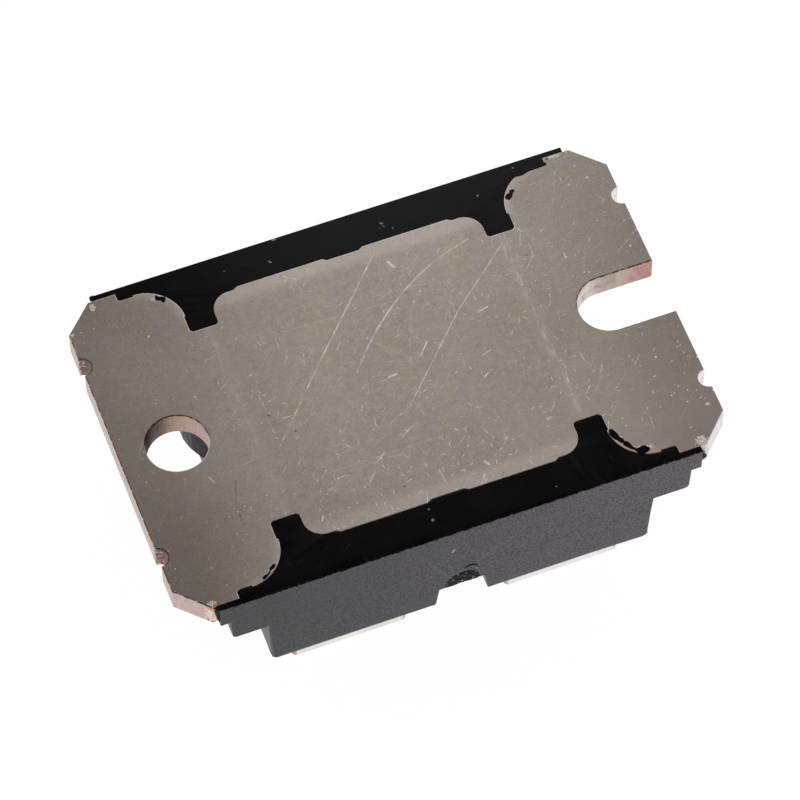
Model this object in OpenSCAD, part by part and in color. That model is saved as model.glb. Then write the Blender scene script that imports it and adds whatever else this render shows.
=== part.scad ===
// Power transistor module with an isolated copper base and four screw terminals.
// It lies on its terminals, base face up: the origin is in the plane of the terminal faces, below the
// centre of the base, +X runs from the round hole to the open slot and +Z points out of the base face.

/* [Overall] */
// Height from the terminal faces to the base face
overall_h = 12; // [11.6:0.1:12.4]

/* [Baseplate] */
// Length of the plate
plate_l = 38.1; // [37.4:0.1:39]
// Width of the plate across its wings
plate_w = 24.6; // [24.2:0.1:25.4]
// Thickness of the plate
plate_t = 2; // [1.6:0.1:2.4]
// Leg of the chamfer on the four corners
corner_chamfer = 2; // [1:0.1:2.6]
// Distance from the plate's end to the centre of its hole or slot
hole_end = 3.95; // [3.6:0.05:4.4]
// Diameter of the round hole
hole_d = 4.2; // [3.8:0.1:4.6]
// Width of the open slot
slot_w = 4.2; // [3.8:0.1:4.6]
// Radius of the small notches in the plate's ends
end_notch_r = 0.65; // [0.3:0.05:0.9]
// Distance from the plate's long edge to a notch in its end
end_notch_edge = 4.65; // [4:0.05:6]
// Length of the full-width part of a wing
wing_l = 3.9; // [3.2:0.1:4.6]
// Length of a wing's lobe, from its full-width part to the square notch
lobe_l = 3.7; // [3.2:0.1:4]
// Step from a wing's full width to its lobe
lobe_inset = 0.5; // [0.3:0.05:0.8]
// Corner radius of a lobe
lobe_r = 2.8; // [1.5:0.1:3.2]
// Overhang of a lobe over the square notch
lobe_lip = 0.1; // [0.05:0.05:0.2]
// Length of the relief between a lobe and its wing
relief_l = 1.05; // [0.6:0.05:1.4]
// Depth of that relief
relief_d = 0.12; // [0.05:0.01:0.2]
// Corner radius where the relief meets the wing
relief_r = 0.2; // [0.05:0.05:0.3]
// Length of a square notch along the plate
notch_l = 1.95; // [1.2:0.05:2.6]
// Distance from the plate's long edge to the floor of a square notch
neck_inset = 4.6; // [4:0.1:5]
// Corner radius in the floor of a square notch
notch_r = 0.25; // [0.1:0.05:0.5]
// Distance from the plate's long edge to the edge of the middle field
field_inset = 2.48; // [2.1:0.02:3]
// Corner radius of the middle field
field_r = 1.35; // [0.5:0.05:2]
// Height of the two shallow lands on each side of the middle field
land_h = 0.18; // [0.1:0.02:0.4]
// Distance from the end of the middle field to a land
land_end = 1.78; // [1.5:0.02:3]
// Distance between the two lands
land_gap = 2.24; // [1.6:0.02:4]
// Length of the slope at each end of a land
land_slope = 0.3; // [0.1:0.05:0.6]

/* [Moulding] */
// Step from the base face down to the plastic
plate_proud = 0.05; // [0.02:0.01:0.1]
// Thickness of the plastic beside the wings
skirt_t = 0.4; // [0.25:0.05:0.5]
// Distance from the plate's end to the plastic beside the wings
skirt_end = 2.4; // [2:0.1:2.8]
// Depth of the plastic beside the wings, from the base face
skirt_h = 2.2; // [2.1:0.05:2.6]
// Distance from the plate's end to the flange under it
flange_end = 3.1; // [2.9:0.1:3.6]
// Depth of the flange's lower face, from the base face
flange_h = 4.4; // [3.8:0.1:5]
// Distance from the plate's end to the terminal block where it leaves the flange
block_end = 5.65; // [5.3:0.05:6]
// Depth of the shoulder that surrounds the terminals, from the base face
shoulder_h = 9.4; // [8.8:0.1:9.8]
// Draft of the end walls in degrees
end_draft = 2; // [1:0.5:6]
// Draft of the side walls in degrees
side_draft = 1.5; // [0.5:0.5:3]
// Radius of the moulded edges
edge_r = 0.35; // [0.1:0.05:0.5]
// Plastic between the ceramic and the room for a fixing screw's head
recess_wall = 0.9; // [0.6:0.1:1.2]
// Radius where that room opens into the end wall
recess_lip_r = 5.7; // [3:0.1:7]
// Width of the trench between the terminals, at its floor
trench_w = 3.2; // [2.6:0.1:3.8]
// Depth of the trench below the shoulder
trench_d = 2.1; // [1.2:0.1:2.4]
// Lean of the trench walls in degrees
trench_draft = 7; // [2:0.5:10]
// Radius of the scar where the moulding gate broke off
scar_r = 1.2; // [0.8:0.1:1.6]
// Height of the scar from the trench floor
scar_h = 1.5; // [1.3:0.1:2]
// Depth of the scar at the trench
scar_d = 0.05; // [0.02:0.01:0.1]
// Lean of the scar in degrees, which makes it deeper towards its top
scar_lean = 9; // [0:1:15]

/* [Terminals] */
// Distance between terminal screws along the length
screw_pitch_x = 15; // [14.8:0.1:15.4]
// Distance from the plate's long edge to the terminal screws
screw_edge = 5.95; // [5.8:0.05:6.1]
// Width of a terminal tab
tab_w = 8; // [7.4:0.1:8.4]
// Distance from the screw to the tab's free end
tab_end = 4.95; // [4.4:0.05:5.2]
// Chamfer on the tab's free corners
tab_chamfer = 0.2; // [0.1:0.05:0.6]
// Diameter of the hole in a tab
tab_hole_d = 4.3; // [4.2:0.05:4.6]
// Thickness of the terminal strip
lead_t = 0.8; // [0.6:0.05:1]
// Width of the strip inside the moulding
lead_w = 3.2; // [2.4:0.1:3.6]
// Inner radius of the strip's bends
bend_r = 0.2; // [0.1:0.05:0.25]
// Length of the strip's foot
foot_l = 3.2; // [2.4:0.1:4]

/* [Nuts] */
// Size of a nut across its flats
nut_af = 7; // [6.8:0.1:7.2]
// Thickness of a nut
nut_t = 3.2; // [2.2:0.1:3.4]
// Core diameter of a nut's thread
nut_bore_d = 3.3; // [3.2:0.02:3.5]
// Room round a nut in its pocket
nut_clear = 0.1; // [0.05:0.05:0.2]
// Plastic between a nut's pocket and the strip
lead_wall = 0.2; // [0.15:0.05:0.4]
// Plastic round a nut's pocket
pocket_wall = 0.65; // [0.4:0.05:0.9]
// Corner radius of a nut's platform
platform_r = 0.5; // [0.2:0.1:0.8]
// Depth of the screw's well, from the terminal face
well_depth = 5.5; // [5:0.1:6]

/* [Substrate] */
// Thickness of each solder layer
solder_t = 0.1; // [0.05:0.01:0.15]
// Thickness of the copper on both faces of the ceramic
copper_t = 0.3; // [0.2:0.05:0.4]
// Thickness of the ceramic
ceramic_t = 0.63; // [0.38:0.01:0.7]
// Distance from a square notch's floor to the ceramic
ceramic_inset = 0.1; // [0.05:0.05:0.5]
// Bare ceramic outside the copper
ceramic_rim = 0.5; // [0.3:0.05:0.8]
// Gap between neighbouring copper pads
pad_gap = 0.8; // [0.5:0.05:1.2]
// Copper round a terminal's foot
pad_rim = 0.2; // [0.1:0.05:0.3]
// Copper beside a foot where bond wires land
landing_l = 1.4; // [1:0.1:1.8]

/* [Chip] */
// Copper round the chip's solder along the module
seat_rim = 0.25; // [0.1:0.05:0.5]
// Width of the chip across the module
die_w = 10.4; // [9:0.1:12]
// Thickness of the chip
die_t = 0.3; // [0.2:0.02:0.4]
// Solder that shows round the chip
die_rim = 0.15; // [0.05:0.05:0.25]
// Diameter of a source bond wire
source_wire_d = 0.38; // [0.25:0.01:0.5]
// Number of source bond wires
source_wires = 8; // [4:1:8]
// Distance between source bond wires
source_wire_pitch = 1.15; // [0.8:0.05:1.2]
// Diameter of the gate bond wire
gate_wire_d = 0.25; // [0.12:0.01:0.38]
// Distance from the chip's edge to a bond
bond_inset = 1; // [0.6:0.1:1.4]

/* [Hidden] */
$fn = 64;
// Overshoot of a cut past the face it opens
past = 1;

// Heights in the part's frame
base_z = overall_h - plate_proud;
plate_z = overall_h - plate_t;
skirt_z = overall_h - skirt_h;
flange_z = overall_h - flange_h;
shoulder_z = overall_h - shoulder_h;
trench_z = shoulder_z + trench_d;
lower_copper_z = plate_z - solder_t - copper_t;
ceramic_z = lower_copper_z - ceramic_t;
pad_z = ceramic_z - copper_t;
bond_z = pad_z - solder_t;
die_z = bond_z - die_t;

// Distances from the centre along the length
end_x = plate_l / 2;
hole_x = end_x - hole_end;
wing_x = end_x - wing_l;
notch_x = wing_x - lobe_l;
field_x = notch_x - notch_l;
land_l = field_x - land_end - land_gap / 2;
skirt_x = end_x - skirt_end;
flange_x = end_x - flange_end;
block_x = end_x - block_end;
screw_x = screw_pitch_x / 2;

// Distances from the centre across the width
edge_y = plate_w / 2;
lobe_y = edge_y - lobe_inset;
neck_y = edge_y - neck_inset;
field_y = edge_y - field_inset;
skirt_y = edge_y + skirt_t;
screw_y = edge_y - screw_edge;

// The strip: inner face of its leg, and the depth of its bends
leg_y = screw_y - nut_af / 2 - nut_clear - lead_wall - lead_t;
bend_out_r = bend_r + lead_t;
pocket_af = nut_af + 2 * nut_clear;
pocket_z = lead_t + nut_t + nut_clear;

// The nut's platform, which covers the pocket's corners and the strip's leg
platform_w = pocket_af / cos(30) + 2 * pocket_wall;
platform_in = leg_y - pocket_wall;
platform_out = screw_y + pocket_af / 2 + pocket_wall;

// The substrate: terminal feet, copper pads, ceramic and chip seat
foot_x = screw_x - lead_w / 2;
pad_x = screw_x + lead_w / 2 + pad_rim;
landing_x = foot_x - landing_l;
seat_x = landing_x - pad_gap;
ceramic_x = pad_x + ceramic_rim;
ceramic_y = neck_y - ceramic_inset;
pad_y = ceramic_y - ceramic_rim;
recess_r = hole_x - ceramic_x - recess_wall;
die_reach = [seat_x - seat_rim - die_rim, die_w / 2];

// Places of the four terminals: sign along X and along Y
SOURCE_A = [-1, 1];
SOURCE_B = [-1, -1];
DRAIN = [1, 1];
GATE = [1, -1];
CORNERS = [SOURCE_A, SOURCE_B, DRAIN, GATE];

COPPER = "peru";
NICKEL = "silver";
TIN = "gainsboro";
PLASTIC = "dimgray";
SOLDER = "lightslategray";
ALUMINIUM = "lightgray";

// Points of an arc of radius r that rounds the corner b between a and c
function rounded_corner(a, b, c, r, steps = 6) =
    let (u = (a - b) / norm(a - b),
         v = (c - b) / norm(c - b),
         half = acos(u * v) / 2,
         centre = b + (u + v) / norm(u + v) * r / sin(half),
         from = b + u * r / tan(half) - centre,
         to = b + v * r / tan(half) - centre,
         sweep = 180 - 2 * half)
    [for (i = [0:steps])
        centre + (sin(sweep * (1 - i / steps)) * from + sin(sweep * i / steps) * to) / sin(sweep)];

// Puts what is drawn at +X, +Y into one of the four corners
module in_corner(corner) {
    mirror([corner.x < 0 ? 1 : 0, 0, 0])
        mirror([0, corner.y < 0 ? 1 : 0, 0])
            children();
}

module in_each_corner() {
    for (corner = CORNERS) {
        in_corner(corner) children();
    }
}

// Turns an outline drawn in Y and Z into a bar of length l along X, centred on X = 0
module bar_along_x(l) {
    rotate([90, 0, 90]) linear_extrude(height = l, center = true) children();
}

// Turns an outline drawn in X and Z into a bar of length l along Y, centred on Y = 0
module bar_along_y(l) {
    rotate([90, 0, 0]) linear_extrude(height = l, center = true) children();
}

// What a rounded corner takes off a shape that lies in -X and -Y of its corner at the origin
module corner_off(r) {
    translate([-r, -r]) {
        difference() {
            square(r + past);
            circle(r = r);
        }
    }
}

// What a fillet adds in the corner of an empty quarter that lies in +X and +Y of the origin
module corner_fill(r) {
    difference() {
        translate([-past, -past]) square(r + past);
        translate([r, r]) circle(r = r);
    }
}

// One wing of the plate, at +X, from the square notch to the plate's end
module wing_outline() {
    lip_x = notch_x - lobe_lip;
    lip_y = lobe_y - lobe_r;
    polygon([
        [wing_x, -edge_y], [end_x - corner_chamfer, -edge_y],
        [end_x, corner_chamfer - edge_y], [end_x, edge_y - corner_chamfer],
        [end_x - corner_chamfer, edge_y], [wing_x, edge_y]]);
    difference() {
        translate([lip_x, -lobe_y]) square([wing_x + past - lip_x, 2 * lobe_y]);
        translate([lip_x - past, -lip_y]) square([lobe_lip + past, 2 * lip_y]);
        for (side = [0, 1]) {
            mirror([0, side]) {
                translate([lip_x, lobe_y]) mirror([1, 0]) corner_off(lobe_r);
                translate([wing_x - relief_l, lobe_y - relief_d]) square([relief_l + past, past]);
            }
        }
    }
}

// A pair of shallow lands, on both long edges of the middle field
module land_pair_outline() {
    foot_y = field_y;
    top_y = foot_y + land_h;
    foot = land_l / 2;
    top = foot - land_slope;
    polygon([[-foot, -foot_y], [-top, -top_y], [top, -top_y], [foot, -foot_y],
             [foot, foot_y], [top, top_y], [-top, top_y], [-foot, foot_y]]);
}

module plate_outline() {
    difference() {
        union() {
            for (end = [0, 1]) {
                mirror([end, 0]) wing_outline();
            }
            square([2 * wing_x, 2 * neck_y], center = true);
            difference() {
                square([2 * field_x, 2 * field_y], center = true);
                in_each_corner() translate([field_x, field_y]) corner_off(field_r);
            }
            for (side = [-1, 1]) {
                translate([side * (land_gap + land_l) / 2, 0]) land_pair_outline();
            }
            in_each_corner() translate([field_x, neck_y]) corner_fill(notch_r);
            in_each_corner() translate([notch_x, neck_y]) mirror([1, 0]) corner_fill(notch_r);
            in_each_corner()
                translate([wing_x, lobe_y - relief_d]) mirror([1, 0]) corner_fill(relief_r);
        }
        in_each_corner() translate([end_x, edge_y - end_notch_edge]) circle(r = end_notch_r);
        translate([-hole_x, 0]) circle(d = hole_d);
        translate([hole_x, 0]) circle(d = slot_w);
        translate([hole_x, -slot_w / 2]) square([end_x, slot_w]);
    }
}

module baseplate() {
    color(NICKEL)
        translate([0, 0, plate_z]) linear_extrude(height = plate_t) plate_outline();
}

// An outline that is the same on both sides of its upright axis, from the points of one half
module twin_outline(half) {
    last = len(half) - 1;
    polygon(concat(half, [for (i = [0:last]) [-half[last - i].x, half[last - i].y]]));
}

// The moulding seen from its long side: flange, step and terminal block, with drafted ends
module length_outline() {
    flange_top = [flange_x, base_z];
    flange_root = [flange_x, skirt_z];
    flange_edge = [flange_x - (skirt_z - flange_z) * tan(end_draft), flange_z];
    block_root = [block_x, flange_z];
    block_edge = [block_x - (flange_z - shoulder_z) * tan(end_draft), shoulder_z];
    twin_outline(concat(
        [flange_top, flange_root],
        rounded_corner(flange_root, flange_edge, block_root, edge_r),
        [block_root],
        rounded_corner(block_root, block_edge, [0, shoulder_z], edge_r)));
}

// The moulding seen from its end: drafted side walls
module width_outline() {
    wall_top = [skirt_y, base_z];
    wall_edge = [skirt_y - (base_z - shoulder_z) * tan(side_draft), shoulder_z];
    twin_outline(concat([wall_top], rounded_corner(wall_top, wall_edge, [0, shoulder_z], edge_r)));
}

// The outer form: flange, block and the thin plastic beside the wings, within the side walls
module outer_form() {
    intersection() {
        union() {
            bar_along_y(2 * skirt_y + 2 * past) length_outline();
            for (side = [0, 1]) {
                mirror([0, side, 0])
                    translate([-skirt_x, edge_y, skirt_z])
                        cube([2 * skirt_x, skirt_t + past, skirt_h + past]);
            }
        }
        bar_along_x(2 * skirt_x + 2 * past) width_outline();
    }
}

// The raised seat of a nut, from the shoulder to the underside of its tab
module nut_platform() {
    translate([screw_x, (platform_in + platform_out) / 2, lead_t]) {
        linear_extrude(height = shoulder_z + trench_d - lead_t) {
            difference() {
                square([platform_w, platform_out - platform_in], center = true);
                in_each_corner()
                    translate([platform_w / 2, (platform_out - platform_in) / 2])
                        corner_off(platform_r);
            }
        }
    }
}

// Room for a nut, and the well that takes the end of its screw
module nut_pocket() {
    translate([screw_x, screw_y, lead_t - past])
        cylinder(d = pocket_af / cos(30), h = pocket_z - lead_t + past, $fn = 6);
    translate([screw_x, screw_y, 0]) cylinder(d = tab_hole_d, h = well_depth);
}

// Room for the head of a fixing screw, with a rounded lip where it opens into the end wall
module screw_recess() {
    wall = hole_x - block_x;
    lip_x = -wall - recess_lip_r;
    lip_y = sqrt(pow(recess_r + recess_lip_r, 2) - lip_x * lip_x);
    on_circle = [lip_x, lip_y] * recess_r / (recess_r + recess_lip_r);
    mouth = [-wall, sqrt(recess_r * recess_r - wall * wall)];
    translate([hole_x, 0, -past]) {
        cylinder(r = recess_r, h = overall_h + 2 * past);
        linear_extrude(height = flange_z + past) {
            for (side = [0, 1]) {
                mirror([0, side]) {
                    difference() {
                        polygon([on_circle, [-wall, lip_y], mouth]);
                        translate([lip_x, lip_y]) circle(r = recess_lip_r);
                    }
                }
            }
        }
    }
}

// The trench that keeps the terminals of one side apart
module trench() {
    floor_x = trench_w / 2;
    mouth_x = floor_x + (trench_d + past) * tan(trench_draft);
    bar_along_y(2 * skirt_y + 2 * past)
        polygon([[-floor_x, trench_z], [floor_x, trench_z],
                 [mouth_x, shoulder_z - past], [-mouth_x, shoulder_z - past]]);
}

// The hollow that the moulding gate left in the wall at -Y, above the trench
module gate_scar() {
    wall_y = skirt_y - (base_z - trench_z) * tan(side_draft);
    translate([0, scar_d - wall_y, trench_z]) {
        rotate([-scar_lean, 0, 0]) {
            translate([0, -past / 2, 0]) {
                bar_along_y(past) {
                    translate([0, scar_h - scar_r]) circle(r = scar_r);
                    translate([-scar_r, -past]) square([2 * scar_r, past + scar_h - scar_r]);
                }
            }
        }
    }
}

module body_moulding() {
    color(PLASTIC) {
        difference() {
            union() {
                outer_form();
                in_each_corner() nut_platform();
            }
            for (end = [0, 1]) {
                mirror([end, 0, 0]) screw_recess();
            }
            trench();
            gate_scar();
            in_each_corner() nut_pocket();
            moulded_in();
        }
    }
}

// The strip seen from the side: foot at the top, leg, and tab at the bottom
module strip_outline() {
    tab_y = screw_y + tab_end;
    difference() {
        translate([leg_y, 0]) square([tab_y - leg_y, bond_z]);
        for (side = [0, 1]) {
            translate([leg_y, side * bond_z])
                mirror([0, 1 - side]) mirror([1, 0]) corner_off(bend_out_r);
        }
        difference() {
            translate([leg_y + lead_t, lead_t]) square([tab_y, bond_z - 2 * lead_t]);
            for (side = [0, 1]) {
                translate([leg_y + lead_t, side ? bond_z - lead_t : lead_t])
                    mirror([0, 1 - side]) mirror([1, 0]) corner_off(bend_r);
            }
        }
        translate([leg_y + foot_l, bond_z / 2]) square([tab_y, bond_z]);
    }
}

// One terminal: a strip with a wide, chamfered and pierced tab
module terminal(corner) {
    tab_in = leg_y + bend_out_r;
    tab_out = screw_y + tab_end;
    color(TIN) {
        in_corner(corner) {
            difference() {
                union() {
                    translate([screw_x, 0, 0]) bar_along_x(lead_w) strip_outline();
                    translate([screw_x, 0, 0]) {
                        linear_extrude(height = lead_t) {
                            polygon([
                                [-tab_w / 2, tab_in], [tab_w / 2, tab_in],
                                [tab_w / 2, tab_out - tab_chamfer],
                                [tab_w / 2 - tab_chamfer, tab_out],
                                [tab_chamfer - tab_w / 2, tab_out],
                                [-tab_w / 2, tab_out - tab_chamfer]]);
                        }
                    }
                }
                translate([screw_x, screw_y, -past]) cylinder(d = tab_hole_d, h = lead_t + 2 * past);
            }
        }
    }
}

// A hexagon nut with chamfered corners, lying on the inner face of its tab
module nut(corner) {
    corner_r = nut_af / 2 / cos(30);
    chamfer = (corner_r - nut_af / 2) * tan(30);
    color(NICKEL) {
        in_corner(corner) {
            translate([screw_x, screw_y, lead_t]) {
                difference() {
                    intersection() {
                        cylinder(r = corner_r, h = nut_t, $fn = 6);
                        rotate_extrude()
                            polygon([[0, 0], [nut_af / 2, 0], [corner_r, chamfer],
                                     [corner_r, nut_t - chamfer], [nut_af / 2, nut_t], [0, nut_t]]);
                    }
                    translate([0, 0, -past]) cylinder(d = nut_bore_d, h = nut_t + 2 * past);
                }
            }
        }
    }
}

// A flat layer between two corners in X and Y, from z upwards
module layer(from, to, z, t) {
    translate([from.x, from.y, z]) cube([to.x - from.x, to.y - from.y, t]);
}

module base_solder() {
    color(SOLDER) layer([-pad_x, -pad_y], [pad_x, pad_y], plate_z - solder_t, solder_t);
}

module lower_copper() {
    color(COPPER) layer([-pad_x, -pad_y], [pad_x, pad_y], lower_copper_z, copper_t);
}

module ceramic_tile() {
    color("white")
        layer([-ceramic_x, -ceramic_y], [ceramic_x, ceramic_y], ceramic_z, ceramic_t);
}

module source_pad() {
    color(COPPER) layer([-pad_x, -pad_y], [-landing_x, pad_y], pad_z, copper_t);
}

module gate_pad() {
    color(COPPER) layer([landing_x, -pad_y], [pad_x, -pad_gap / 2], pad_z, copper_t);
}

// The drain pad carries the chip and reaches past the gate pad to its own terminal
module drain_pad() {
    color(COPPER) {
        union() {
            layer([-seat_x, -pad_y], [seat_x, pad_y], pad_z, copper_t);
            layer([0, pad_gap / 2], [pad_x, pad_y], pad_z, copper_t);
        }
    }
}

// The solder between a terminal's foot and its pad
module foot_solder(corner) {
    color(SOLDER)
        in_corner(corner)
            layer([foot_x, leg_y + bend_out_r], [foot_x + lead_w, leg_y + foot_l], bond_z, solder_t);
}

module die_solder() {
    reach = die_reach + [die_rim, die_rim];
    color(SOLDER) layer(-reach, reach, bond_z, solder_t);
}

module mosfet_die() {
    color("slategray") layer(-die_reach, die_reach, die_z, die_t);
}

// A bond wire along X: an arch from the chip's face at die_end to the copper at pad_end
module bond_wire(die_end, pad_end, y, d) {
    arch_r = abs(die_end - pad_end) / 2;
    color(ALUMINIUM) {
        union() {
            translate([(die_end + pad_end) / 2, y, die_z])
                rotate([-90, 0, 0])
                    rotate_extrude(angle = 180) translate([arch_r, 0]) circle(d = d);
            translate([pad_end, y, die_z]) cylinder(d = d, h = pad_z - die_z);
        }
    }
}

module source_wire(i) {
    bond_wire(bond_inset - die_reach.x, -landing_x - landing_l / 2,
              (i - (source_wires + 1) / 2) * source_wire_pitch, source_wire_d);
}

module gate_wire() {
    bond_wire(die_reach.x - bond_inset, landing_x + landing_l / 2,
              -(pad_gap + landing_l) / 2, gate_wire_d);
}

// Everything that the plastic flows round when it is moulded
module moulded_in() {
    baseplate();
    base_solder();
    lower_copper();
    ceramic_tile();
    source_pad();
    drain_pad();
    gate_pad();
    die_solder();
    mosfet_die();
    gate_wire();
    for (i = [1:source_wires]) {
        source_wire(i);
    }
    for (corner = CORNERS) {
        terminal(corner);
        foot_solder(corner);
    }
}

baseplate();
body_moulding();
terminal(SOURCE_A);  // source_terminal_a
terminal(SOURCE_B);  // source_terminal_b
terminal(DRAIN);  // drain_terminal
terminal(GATE);  // gate_terminal
nut(SOURCE_A);  // nut_source_a
nut(SOURCE_B);  // nut_source_b
nut(DRAIN);  // nut_drain
nut(GATE);  // nut_gate
base_solder();
lower_copper();
ceramic_tile();
source_pad();
drain_pad();
gate_pad();
foot_solder(SOURCE_A);  // source_a_solder
foot_solder(SOURCE_B);  // source_b_solder
foot_solder(DRAIN);  // drain_solder
foot_solder(GATE);  // gate_solder
die_solder();
mosfet_die();
gate_wire();
for (i = [1:source_wires]) {
    source_wire(i);
}
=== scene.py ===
# %% [markdown]
# # A power module, lying on its terminals
#
# This lesson dresses a small power module: a nickel-plated copper base with a black block moulded onto it,
# and four screw terminals on the far side. It is about as big as a matchbox cut in half. The module lies
# with its terminals down, so what we see is the flat base that is screwed to a cooler.
#
# The solids come from CAD and are loaded as a fixed frame, in metres. The base face looks up, along +Z, the
# round hole is at -X and the open slot at +X. Nothing below moves them: we copy a solid where its edges
# need work, and give a finish to the rest.

# %% Load the solids
import math

import bmesh
import bpy
from mathutils import Matrix, Vector, noise


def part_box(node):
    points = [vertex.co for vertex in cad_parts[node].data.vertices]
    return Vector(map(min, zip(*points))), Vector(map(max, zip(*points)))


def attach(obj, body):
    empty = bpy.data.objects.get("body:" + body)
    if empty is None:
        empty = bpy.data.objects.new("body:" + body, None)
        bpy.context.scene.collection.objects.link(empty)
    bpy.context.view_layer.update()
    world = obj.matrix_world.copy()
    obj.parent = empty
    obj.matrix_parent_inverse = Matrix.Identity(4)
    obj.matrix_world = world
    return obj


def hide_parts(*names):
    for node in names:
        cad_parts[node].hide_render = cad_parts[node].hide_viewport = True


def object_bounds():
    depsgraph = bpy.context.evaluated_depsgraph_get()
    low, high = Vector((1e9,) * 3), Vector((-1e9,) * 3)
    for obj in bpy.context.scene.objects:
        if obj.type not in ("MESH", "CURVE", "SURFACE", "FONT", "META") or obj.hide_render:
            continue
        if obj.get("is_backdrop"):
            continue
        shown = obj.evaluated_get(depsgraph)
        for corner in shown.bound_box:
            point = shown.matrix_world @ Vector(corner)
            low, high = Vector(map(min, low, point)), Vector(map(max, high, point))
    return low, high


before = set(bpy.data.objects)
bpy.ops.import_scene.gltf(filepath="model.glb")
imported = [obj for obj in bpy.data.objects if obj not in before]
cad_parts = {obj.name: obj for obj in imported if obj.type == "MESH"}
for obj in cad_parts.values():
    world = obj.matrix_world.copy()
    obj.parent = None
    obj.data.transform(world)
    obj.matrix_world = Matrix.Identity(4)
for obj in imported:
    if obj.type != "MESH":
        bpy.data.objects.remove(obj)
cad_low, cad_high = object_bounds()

MM = 0.001
print(len(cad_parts), "solids, size in mm:", [round(x / MM, 2) for x in cad_high - cad_low])

# %% [markdown]
# ## The camera
#
# A small part is photographed from some way off with a long lens, so that its far end doesn't shrink. We
# could turn the camera by eye, but the outline of the base gives its place: it looks down at about 59
# degrees from the near left, and is turned one degree about its own line of sight.

# %% Set up the camera
camera_data = bpy.data.cameras.new("product_camera")
camera_data.lens = 234.85
camera_data.sensor_width = 36
camera_data.clip_start = 0.01
camera_data.clip_end = 20
camera = bpy.data.objects.new("product_camera", camera_data)
line_of_sight = Vector((0.17390378, 0.48593707, -0.85651774))
roll = Matrix.Rotation(math.radians(-0.99), 3, "Z")
camera.location = (-0.059674, -0.167719, 0.303926)
camera.rotation_euler = (line_of_sight.to_track_quat("-Z", "Y").to_matrix() @ roll).to_euler()
bpy.context.scene.collection.objects.link(camera)
bpy.context.scene.camera = camera
bpy.context.scene.view_settings.view_transform = "Standard"
print("camera at", [round(x, 3) for x in camera.location])

# %% [markdown]
# ## Short calls for nodes
#
# Every finish below is a tree of shader nodes. Adding a node, setting it and linking it takes several lines
# each time, so we wrap them: each call adds one node, feeds its inputs with values or with other nodes'
# outputs, and gives back the output that is used most.

# %% A helper for node trees
class Wires:
    """One node tree, with a short call for each kind of node that the finishes use."""

    def __init__(self, tree):
        self.tree = tree

    def feed(self, socket, value):
        if isinstance(value, bpy.types.NodeSocket):
            self.tree.links.new(value, socket)
        else:
            socket.default_value = value

    def add(self, kind, feeds=None, **settings):
        made = self.tree.nodes.new(kind)
        for name, value in settings.items():
            setattr(made, name, value)
        for name, value in (feeds or {}).items():
            self.feed(made.inputs[name], value)
        return made

    def math(self, operation, *values):
        made = self.add("ShaderNodeMath", operation=operation)
        for socket, value in zip(made.inputs, values):
            self.feed(socket, value)
        return made.outputs[0]

    def vector(self, operation, *values):
        made = self.add("ShaderNodeVectorMath", operation=operation)
        for socket, value in zip(made.inputs, values):
            self.feed(socket, value)
        number = operation in ("LENGTH", "DISTANCE", "DOT_PRODUCT")
        return made.outputs["Value" if number else "Vector"]

    def times(self, vector, factor):
        made = self.add("ShaderNodeVectorMath", {"Scale": factor}, operation="SCALE")
        self.feed(made.inputs[0], vector)
        return made.outputs["Vector"]

    def xyz(self, vector):
        return self.add("ShaderNodeSeparateXYZ", {"Vector": vector}).outputs

    def step(self, value, low, high, start=0.0, end=1.0):
        feeds = {"Value": value, "From Min": low, "From Max": high, "To Min": start, "To Max": end}
        return self.add("ShaderNodeMapRange", feeds, interpolation_type="SMOOTHSTEP").outputs[0]

    def noise(self, place, size, detail=2.0, rough=0.5):
        feeds = {"Vector": place, "Scale": 1 / size, "Detail": detail, "Roughness": rough}
        return self.add("ShaderNodeTexNoise", feeds).outputs[0]

    def blend(self, factor, one, other):
        made = self.add("ShaderNodeMix", data_type="RGBA")
        for index, value in ((0, factor), (6, one), (7, other)):
            self.feed(made.inputs[index], value)
        return made.outputs[2]

    def most(self, *masks):
        found = masks[0]
        for mask in masks[1:]:
            found = self.math("MAXIMUM", found, mask)
        return found

    def product(self, *factors):
        found = factors[0]
        for factor in factors[1:]:
            found = self.math("MULTIPLY", found, factor)
        return found

    def moved(self, place, *shift):
        """The place shifted, so that two patterns of one kind don't lie on each other."""
        return self.vector("ADD", place, shift)

    def waver(self, place, size, reach, detail=3.0):
        """A smooth random value about zero, for outlines that wander."""
        return self.product(self.math("SUBTRACT", self.noise(place, size, detail), 0.5), reach)

    def bump(self, strength, depth, height):
        """The normal of a relief, whose depth is given in millimetres."""
        feeds = {"Strength": strength, "Distance": depth * MM, "Height": height}
        return self.add("ShaderNodeBump", feeds).outputs[0]

    def use(self, group, **feeds):
        return self.add("ShaderNodeGroup", feeds, node_tree=group).outputs[0]

    def millimetres(self):
        """The object's own coordinates, in millimetres."""
        return self.times(self.add("ShaderNodeTexCoord").outputs["Object"], 1 / MM)


def new_group(name, inputs, output):
    """A shader node group with named inputs and one output; gives its wires, its inputs and its output."""
    tree = bpy.data.node_groups.new(name, "ShaderNodeTree")
    for label, kind in inputs.items():
        tree.interface.new_socket(label, in_out="INPUT", socket_type="NodeSocket" + kind)
    tree.interface.new_socket(output, in_out="OUTPUT", socket_type="NodeSocketFloat")
    entry = tree.nodes.new("NodeGroupInput")
    exit_node = tree.nodes.new("NodeGroupOutput")
    return Wires(tree), entry.outputs, exit_node.inputs[0]


def new_finish(name, **constants):
    """A material with one Principled shader, whose constant values are set on its own sockets."""
    material = bpy.data.materials.new(name)
    material.use_nodes = True
    wires = Wires(material.node_tree)
    shader = material.node_tree.nodes["Principled BSDF"]
    for label, value in constants.items():
        shader.inputs[label.replace("_", " ")].default_value = value
    return material, wires, shader


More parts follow.
